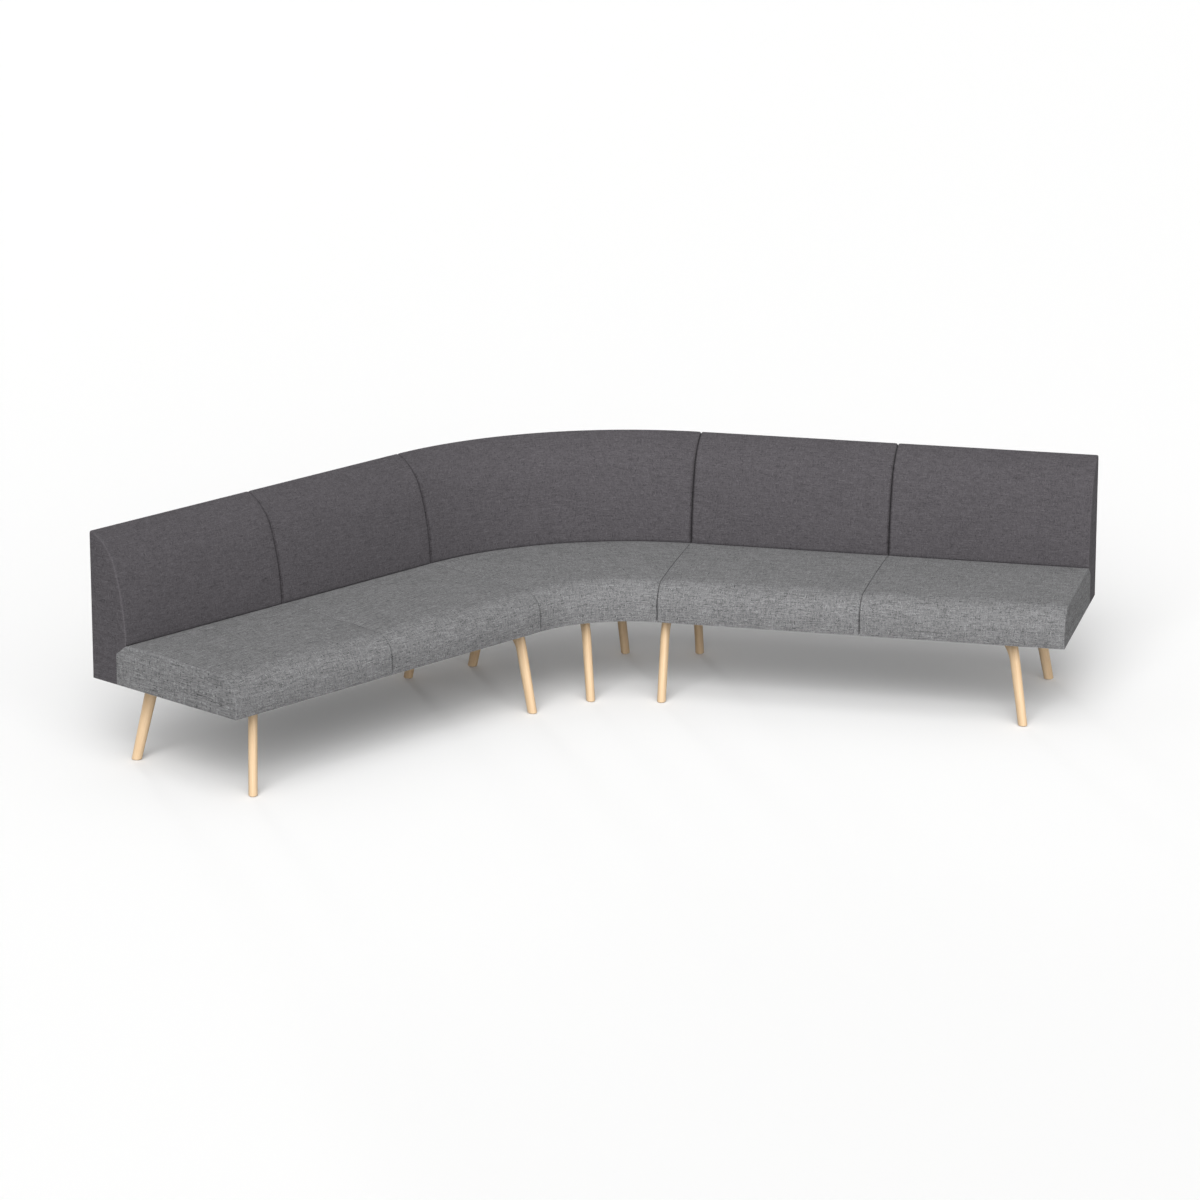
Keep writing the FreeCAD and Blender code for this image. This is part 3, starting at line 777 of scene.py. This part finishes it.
def weave(name, dark, light, pitch, fleck, contrast):
    """A crepe weave of mixed yarn; pitch is a yarn's width and fleck its longest change in shade."""
    cloth = Finish(bpy.data.materials.new(name))
    place = cloth.add("ShaderNodeUVMap", {"uv_map": WEAVE_MAP}, {})
    along, down, _ = cloth.parts(place)
    column = along // pitch
    row = down // pitch
    warp_place = cloth.add("ShaderNodeCombineXYZ", {}, {0: column * YARN_SHIFT, 1: down / fleck})
    weft_fleck = fleck * WEFT_STRETCH
    weft_row = row * YARN_SHIFT + WEFT_START
    weft_place = cloth.add("ShaderNodeCombineXYZ", {}, {0: along / weft_fleck, 1: weft_row})
    warp = cloth.noise(warp_place, YARN_CELL, YARN_DETAIL, YARN_ROUGHNESS)
    weft = cloth.noise(weft_place, YARN_CELL, YARN_DETAIL, YARN_ROUGHNESS)
    crossing = cloth.add("ShaderNodeCombineXYZ", {}, {0: column, 1: row})
    chance = cloth.add("ShaderNodeTexWhiteNoise", {"noise_dimensions": "2D"}, {"Vector": crossing})
    warp_on_top = chance > 1 - WARP_SHARE
    yarn = weft + warp_on_top * (warp - weft)
    fibres = cloth.noise(place, FIBRE_CELL)
    cloud = cloth.noise(place, CLOUD_CELL, CLOUD_DETAIL)
    # The seam's painted light: painted shade in the joints, painted highlight on the free ends' sewn edges.
    seam = cloth.add("ShaderNodeAttribute", {"attribute_name": "painted_seam_light"}, {}, output="Fac")
    share = MIDDLE + contrast * yarn + FIBRE_WEIGHT * fibres + CLOUD_WEIGHT * cloud + seam
    warp_side = along / pitch - column
    weft_side = down / pitch - row
    warp_round = warp_side * (1 - warp_side)
    weft_round = weft_side * (1 - weft_side)
    height = weft_round + warp_on_top * (warp_round - weft_round) + FIBRE_RELIEF * fibres
    return cloth.done(
        Base_Color=cloth.tint(dark, light, share),
        Roughness=CLOTH_ROUGHNESS - YARN_GLOSS * yarn,
        Specular_IOR_Level=0.08,
        Sheen_Weight=0.02,
        Sheen_Roughness=0.5,
        Normal=cloth.bump(height, YARN_RELIEF),
    )


seat_fabric = weave(
    "seat_fabric",
    dark=(0.017, 0.017, 0.0175),
    light=(0.345, 0.345, 0.350),
    pitch=0.0022,
    fleck=0.034,
    contrast=2.0,
)
back_fabric = weave(
    "back_fabric",
    dark=(0.0214, 0.0192, 0.0214),
    light=(0.140, 0.131, 0.141),
    pitch=0.0026,
    fleck=0.024,
    contrast=1.5,
)
dress(pads["seat"], seat_fabric)
dress(pads["back"], back_fabric)
print("wove two fabrics for", len(pads["seat"]) + len(pads["back"]), "pads")

# %% [markdown]
# ## The wood of the legs
# The legs are turned from pale, fine-grained wood under a satin lacquer. The grain runs along each leg, and
# each leg leans its own way, so each gets its own copy of the finish, with a Mapping node that lays the
# grain along the line from the middle of its foot to the middle of its knee.

# %% Turn the legs' grain
KNEE_HEIGHT = 0.213
RING_REACH = 0.002
LEG_DARK = (0.580, 0.388, 0.211)
LEG_LIGHT = (0.805, 0.610, 0.403)
BAND_CELL = (0.007, 0.007, 0.35)
BAND_DETAIL = 3.0
BAND_WEIGHT = 1.1
BAND_GLOSS = 0.25
LEG_PORE_CELL = (0.0008, 0.0008, 0.02)
LEG_PORE_DETAIL = 1.0
LEG_PORE_WEIGHT = 0.5
LEG_PORE_DEPTH = 0.0002
LEG_PORE_STRENGTH = 0.5
PATCH_CELL = (0.03, 0.03, 0.15)
PATCH_WEIGHT = 0.6
LACQUER_ROUGHNESS = 0.42


def ring_middle(node, height):
    """The middle of a leg's outline at a height."""
    near = [vertex.co for vertex in node.data.vertices if abs(vertex.co.z - height) < RING_REACH]
    return sum(near, Vector()) / len(near)


def leg_wood(name, foot, lean):
    wood = Finish(bpy.data.materials.new(name))
    place = wood.add("ShaderNodeTexCoord", {}, {}, output="Object")
    turn = lean.to_track_quat("Z", "Y").to_euler()
    inputs = {"Vector": place, "Location": foot, "Rotation": turn}
    along = wood.add("ShaderNodeMapping", {"vector_type": "TEXTURE"}, inputs)
    bands = wood.noise(along, BAND_CELL, BAND_DETAIL)
    pores = wood.noise(along, LEG_PORE_CELL, LEG_PORE_DETAIL)
    patches = wood.noise(along, PATCH_CELL)
    share = MIDDLE + BAND_WEIGHT * bands + LEG_PORE_WEIGHT * pores + PATCH_WEIGHT * patches
    return wood.done(
        Base_Color=wood.tint(LEG_DARK, LEG_LIGHT, share),
        Roughness=LACQUER_ROUGHNESS - BAND_GLOSS * bands,
        Specular_IOR_Level=0.35,
        Normal=wood.bump(pores, LEG_PORE_DEPTH, LEG_PORE_STRENGTH),
    )


legs = [node for name, node in nodes.items() if name.endswith("_leg")]
for leg in legs:
    foot = ring_middle(leg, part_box(leg.name)[0].z)
    lean = ring_middle(leg, KNEE_HEIGHT) - foot
    dress([leg], leg_wood(leg.name + "_wood", foot, lean))
print("laid the grain along", len(legs), "legs")

# %% [markdown]
# ## Boards and dust cloths
# The boards are plywood, with face grain that runs along the module. They are stained nearly black, so that
# no bright wood shows through the joints of the covers. The dust cloths under them are nearly black too, and
# not woven: a felt of fine fibres.

# %% Finish boards and dust cloths
PLY_DARK = (0.010, 0.009, 0.008)
PLY_LIGHT = (0.042, 0.036, 0.031)
GRAIN_CELL = (0.6, 0.012, 0.012)
GRAIN_DETAIL = 4.0
GRAIN_WEIGHT = 1.4
GRAIN_DULLNESS = 0.2
PLY_PORE_CELL = (0.02, 0.0012, 0.0012)
PLY_PORE_WEIGHT = 0.5
PLY_PORE_DEPTH = 0.0003
STAIN_ROUGHNESS = 0.7
FELT_DARK = (0.014, 0.014, 0.015)
FELT_LIGHT = (0.056, 0.056, 0.059)
FELT_CELL = (0.0015, 0.0015, 0.0015)
FELT_DETAIL = 4.0
FELT_WEIGHT = 1.5
FELT_RELIEF = 0.0006
FELT_CLOUD_CELL = (0.03, 0.03, 0.03)
FELT_CLOUD_GLOSS = 0.1
FELT_ROUGHNESS = 0.95


def stained_plywood(name, turn):
    wood = Finish(bpy.data.materials.new(name))
    place = wood.add("ShaderNodeTexCoord", {}, {}, output="Object")
    along = wood.add("ShaderNodeMapping", {}, {"Vector": place, "Rotation": (0, 0, turn)})
    grain = wood.noise(along, GRAIN_CELL, GRAIN_DETAIL)
    pores = wood.noise(along, PLY_PORE_CELL)
    share = MIDDLE + GRAIN_WEIGHT * grain + PLY_PORE_WEIGHT * pores
    return wood.done(
        Base_Color=wood.tint(PLY_DARK, PLY_LIGHT, share),
        Roughness=STAIN_ROUGHNESS + GRAIN_DULLNESS * grain,
        Specular_IOR_Level=0.3,
        Normal=wood.bump(pores, PLY_PORE_DEPTH),
    )


def felt(name):
    cloth = Finish(bpy.data.materials.new(name))
    place = cloth.add("ShaderNodeTexCoord", {}, {}, output="Object")
    fibres = cloth.noise(place, FELT_CELL, FELT_DETAIL)
    cloud = cloth.noise(place, FELT_CLOUD_CELL)
    return cloth.done(
        Base_Color=cloth.tint(FELT_DARK, FELT_LIGHT, MIDDLE + FELT_WEIGHT * fibres + cloud),
        Roughness=FELT_ROUGHNESS - FELT_CLOUD_GLOSS * cloud,
        Specular_IOR_Level=0.15,
        Sheen_Weight=0.1,
        Normal=cloth.bump(fibres, FELT_RELIEF),
    )


dust_felt = felt("dust_felt")
for module, turn in (("left", -HALF_TURN), ("corner", 0), ("right", HALF_TURN)):
    boards = [nodes[f"{module}_base_board"], nodes[f"{module}_back_board"]]
    dress(boards, stained_plywood(f"{module}_plywood", turn))
    dress([nodes[f"{module}_dust_cover"]], dust_felt)
print("finished the boards and dust cloths of", len(rooms), "modules")

# %% [markdown]
# ## Fittings
# Plates and brackets have a dark powder coat, which is slightly pebbly, the screws are zinc plated, and the
# glides are nylon. All three are fine grain and some wear, so one function makes them.

# %% Coat the fittings
WEAR_CELL = (0.02, 0.02, 0.02)
WEAR_DETAIL = 4.0
WEAR_WEIGHT = 0.8
WEAR_DULLNESS = 0.25
PEBBLE_WEIGHT = 0.5
PEBBLE_RELIEF = 0.0001


def coating(name, dark, light, metallic, rough, grain):
    coat = Finish(bpy.data.materials.new(name))
    place = coat.add("ShaderNodeTexCoord", {}, {}, output="Object")
    pebbles = coat.noise(place, (grain, grain, grain))
    wear = coat.noise(place, WEAR_CELL, WEAR_DETAIL)
    return coat.done(
        Base_Color=coat.tint(dark, light, MIDDLE + WEAR_WEIGHT * wear + PEBBLE_WEIGHT * pebbles),
        Roughness=rough + WEAR_DULLNESS * wear,
        Metallic=metallic,
        Normal=coat.bump(pebbles, PEBBLE_RELIEF),
    )


powder_coat = coating(
    "black_powder_coat",
    dark=(0.030, 0.030, 0.032),
    light=(0.110, 0.110, 0.114),
    metallic=0.0,
    rough=0.45,
    grain=0.0012,
)
zinc = coating(
    "zinc_plate",
    dark=(0.45, 0.44, 0.41),
    light=(0.68, 0.67, 0.64),
    metallic=1.0,
    rough=0.38,
    grain=0.0008,
)
nylon = coating(
    "nylon",
    dark=(0.46, 0.44, 0.40),
    light=(0.62, 0.60, 0.56),
    metallic=0.0,
    rough=0.5,
    grain=0.0010,
)
dress([nodes[name] for name in ("leg_plates", "joint_plates", "back_brackets")], powder_coat)
dress([nodes[name] for name in ("leg_screws", "bracket_screws")], zinc)
dress([nodes["foot_glides"]], nylon)
print("coated plates, brackets, screws and glides")

# %% [markdown]
# ## Floor and sky
# The sofa stands on a pale floor without an end in view, which is clear when it is seen from below, so that
# the underside can be looked at. An even sky lights it from all sides and is white where it is in view. The
# floor is pale in view as well, but throws back the light of a grey one, so that the ends are not washed out.

# %% Lay the floor and raise the sky
FLOOR_HALF = 60
FLOOR_IN_VIEW = (0.96, 0.959, 0.956)
FLOOR_BOUNCE = (0.4, 0.4, 0.4)
SKY_LEVEL = 0.274


def in_view(finish):
    """One where the camera sees this, also in a mirror or through glass, and zero where it only lights."""
    kinds = ("Is Camera Ray", "Is Glossy Ray", "Is Transmission Ray")
    rays = [finish.add("ShaderNodeLightPath", {}, {}, output=kind) for kind in kinds]
    camera_ray, glossy_ray, clear_ray = rays
    return camera_ray + glossy_ray + clear_ray > MIDDLE


floor_mesh = bmesh.new()
bmesh.ops.create_grid(floor_mesh, x_segments=1, y_segments=1, size=FLOOR_HALF)
floor = as_object("floor", floor_mesh)
scene.collection.objects.link(floor)
pale_floor = Finish(bpy.data.materials.new("pale_floor"))
floor_colour = pale_floor.tint(FLOOR_BOUNCE, FLOOR_IN_VIEW, in_view(pale_floor))
pale_floor.done(Base_Color=floor_colour, Roughness=0.9, Specular_IOR_Level=0.1)
from_below = pale_floor.add("ShaderNodeNewGeometry", {}, {}, output="Backfacing")
clear = pale_floor.add("ShaderNodeBsdfTransparent", {}, {})
above = Field(pale_floor, pale_floor.surface.outputs["BSDF"])
both = pale_floor.add("ShaderNodeMixShader", {}, {0: from_below, 1: above, 2: clear})
pale_floor.wire(pale_floor.tree.nodes["Material Output"], {"Surface": both})
dress([floor], pale_floor.material)

sky = Finish(bpy.data.worlds.new("sky"), "Background")
scene.world = sky.done(Color=(1, 1, 1, 1), Strength=SKY_LEVEL + (1 - SKY_LEVEL) * in_view(sky))
print("laid a floor of", 2 * FLOOR_HALF, "m and raised a sky of", SKY_LEVEL)

# %% [markdown]
# ## Lamps
# Broad lamps add to the sky: the key from the front left, a low fill from the front and a top lamp, which
# together give soft shadows. One more stands low behind the sofa, half as strong as the key, so that the rear
# does not go dark. All are kept at a plain level, at which a colour renders about as it is written.
# `left` is how far a lamp stands to the left of the front, `height` how high, and `spread` how wide it looks,
# all in degrees.

# %% Hang the lamps
LAMPS = {
    "key": {"power": 1.98, "left": 26, "height": 32, "spread": 38},
    "fill": {"power": 1.34, "left": 2, "height": 20, "spread": 50},
    "top": {"power": 0.92, "left": 20, "height": 60, "spread": 50},
    "rear": {"power": 1.0, "left": 180, "height": 4, "spread": 7},
}

for name, lamp in LAMPS.items():
    lamp_data = bpy.data.lights.new(name, "SUN")
    lamp_data.energy = lamp["power"]
    lamp_data.angle = math.radians(lamp["spread"])
    lamp_object = bpy.data.objects.new(name, lamp_data)
    lamp_object.rotation_euler = (math.radians(90 - lamp["height"]), 0, math.radians(-lamp["left"]))
    scene.collection.objects.link(lamp_object)
scene.view_settings.view_transform = "Standard"
print("hung", len(LAMPS), "lamps")
